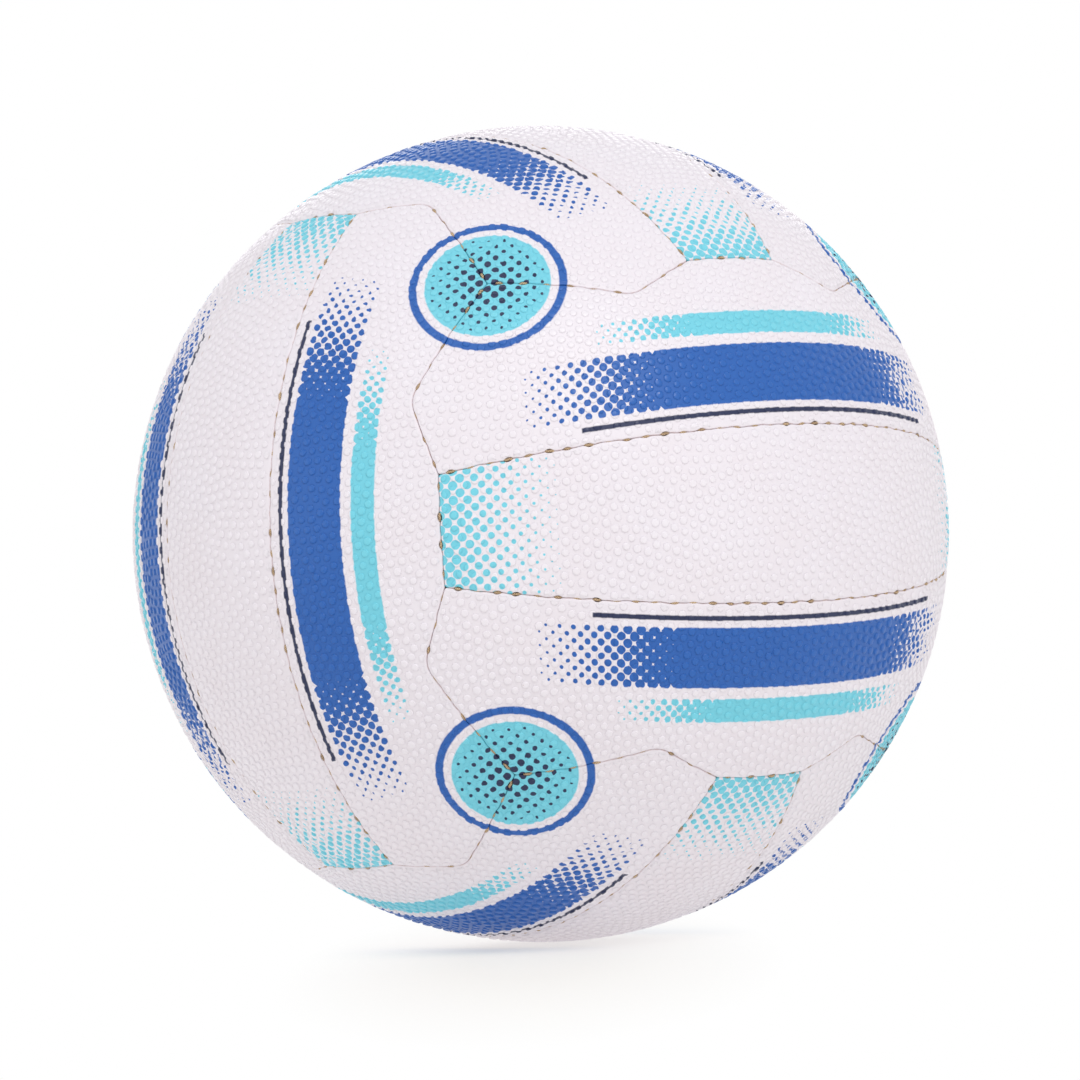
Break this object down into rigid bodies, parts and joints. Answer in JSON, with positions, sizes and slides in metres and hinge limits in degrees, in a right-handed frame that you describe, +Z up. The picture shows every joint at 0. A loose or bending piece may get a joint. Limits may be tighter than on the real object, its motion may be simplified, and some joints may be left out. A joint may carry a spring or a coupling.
{
  "type": "netball",
  "caption": "Hand-sewn round ball of pebbled rubber strips in crossed groups, cloth lined over an air bladder with a needle valve, for throwing and catching.",
  "frame": {"origin": "centre of the ball", "axes": "+Z up, -Y out of the group of level strips that shows on the right of the picture, +Y out of the needle valve"},
  "size_m": [0.2068, 0.2068, 0.2068],
  "materials": {
    "cover": "satin pebbled rubber, white with blue, cyan and navy print",
    "lining": "laminated woven cloth",
    "thread": "waxed twisted polyester",
    "bladder": "smooth butyl",
    "valve": "smooth moulded rubber"
  },
  "bodies": {
    "root": {"back_left_seam_thread": "thread", "back_lower_lining": "lining", "back_lower_panel": "cover", "back_middle_lining": "lining", "back_middle_panel": "cover", "back_right_seam_thread": "thread", "back_seam_thread": "thread", "back_upper_lining": "lining", "back_upper_panel": "cover", "bladder": "bladder", "bottom_back_seam_thread": "thread", "bottom_front_seam_thread": "thread", "bottom_left_lining": "lining", "bottom_left_panel": "cover", "bottom_middle_lining": "lining", "bottom_middle_panel": "cover", "bottom_right_lining": "lining", "bottom_right_panel": "cover", "bottom_seam_thread": "thread", "front_left_seam_thread": "thread", "front_lower_lining": "lining", "front_lower_panel": "cover", "front_middle_lining": "lining", "front_middle_panel": "cover", "front_right_seam_thread": "thread", "front_seam_thread": "thread", "front_upper_lining": "lining", "front_upper_panel": "cover", "left_back_lining": "lining", "left_back_panel": "cover", "left_bottom_seam_thread": "thread", "left_front_lining": "lining", "left_front_panel": "cover", "left_middle_lining": "lining", "left_middle_panel": "cover", "left_seam_thread": "thread", "left_top_seam_thread": "thread", "right_back_lining": "lining", "right_back_panel": "cover", "right_bottom_seam_thread": "thread", "right_front_lining": "lining", "right_front_panel": "cover", "right_middle_lining": "lining", "right_middle_panel": "cover", "right_seam_thread": "thread", "right_top_seam_thread": "thread", "top_back_seam_thread": "thread", "top_front_seam_thread": "thread", "top_left_lining": "lining", "top_left_panel": "cover", "top_middle_lining": "lining", "top_middle_panel": "cover", "top_right_lining": "lining", "top_right_panel": "cover", "top_seam_thread": "thread", "valve_boot": "valve", "valve_core": "valve", "valve_patch": "lining"}
  },
  "joints": []
}
